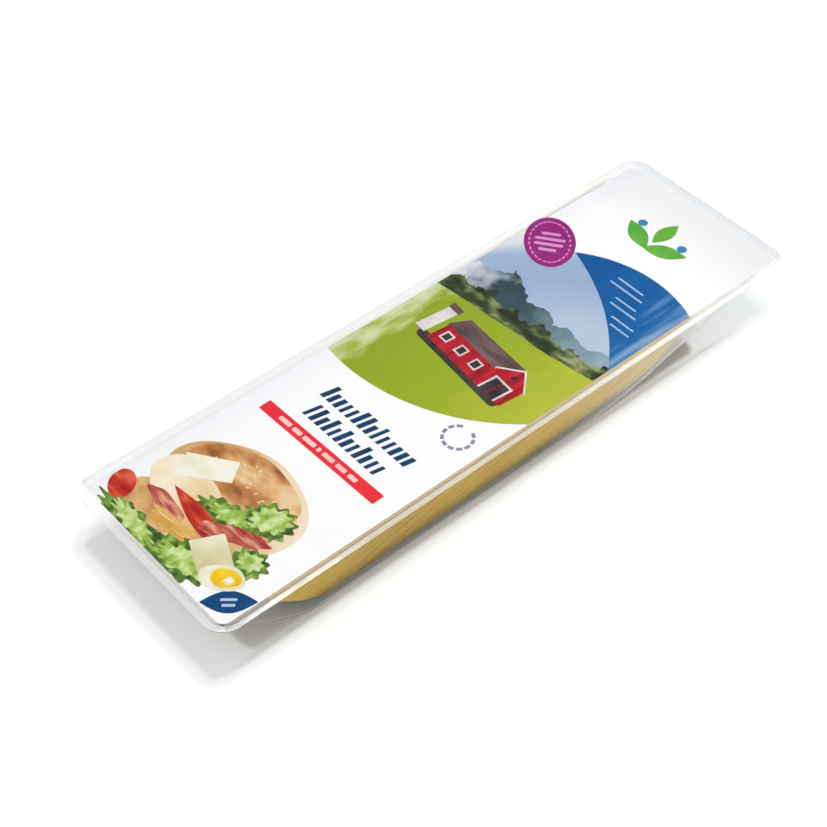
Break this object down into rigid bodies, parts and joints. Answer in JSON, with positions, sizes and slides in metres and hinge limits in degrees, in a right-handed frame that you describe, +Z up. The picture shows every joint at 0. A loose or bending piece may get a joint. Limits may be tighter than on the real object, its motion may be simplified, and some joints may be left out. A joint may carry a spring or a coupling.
{
  "type": "pack of sliced cheese",
  "caption": "Long sealed pack of sliced cheese: a clear formed tray with sloping ends, shingled slices inside and a flat printed film lid on its flange.",
  "frame": {"origin": "on the floor, under the middle of the flange's outline", "axes": "+X along the pack towards its longer, shallower end, +Y across it to the far long side, +Z up through the printed lid"},
  "size_m": [0.32, 0.096, 0.028],
  "materials": {
    "clear_tray": "clear glossy formed plastic",
    "printed_film": "glossy film, mostly white print",
    "cheese": "golden semi-hard cheese, faint satin sheen"
  },
  "bodies": {
    "root": {"tray": "clear_tray", "lid_film": "printed_film", "cheese_slice_01": "cheese", "cheese_slice_02": "cheese", "cheese_slice_03": "cheese", "cheese_slice_04": "cheese", "cheese_slice_05": "cheese", "cheese_slice_06": "cheese", "cheese_slice_07": "cheese", "cheese_slice_08": "cheese", "cheese_slice_09": "cheese", "cheese_slice_10": "cheese", "cheese_slice_11": "cheese", "cheese_slice_12": "cheese", "cheese_slice_13": "cheese", "cheese_slice_14": "cheese", "cheese_slice_15": "cheese", "cheese_slice_16": "cheese", "cheese_slice_17": "cheese", "cheese_slice_18": "cheese", "cheese_slice_19": "cheese", "cheese_slice_20": "cheese", "cheese_slice_21": "cheese", "cheese_slice_22": "cheese", "cheese_slice_23": "cheese", "cheese_slice_24": "cheese"}
  },
  "joints": []
}
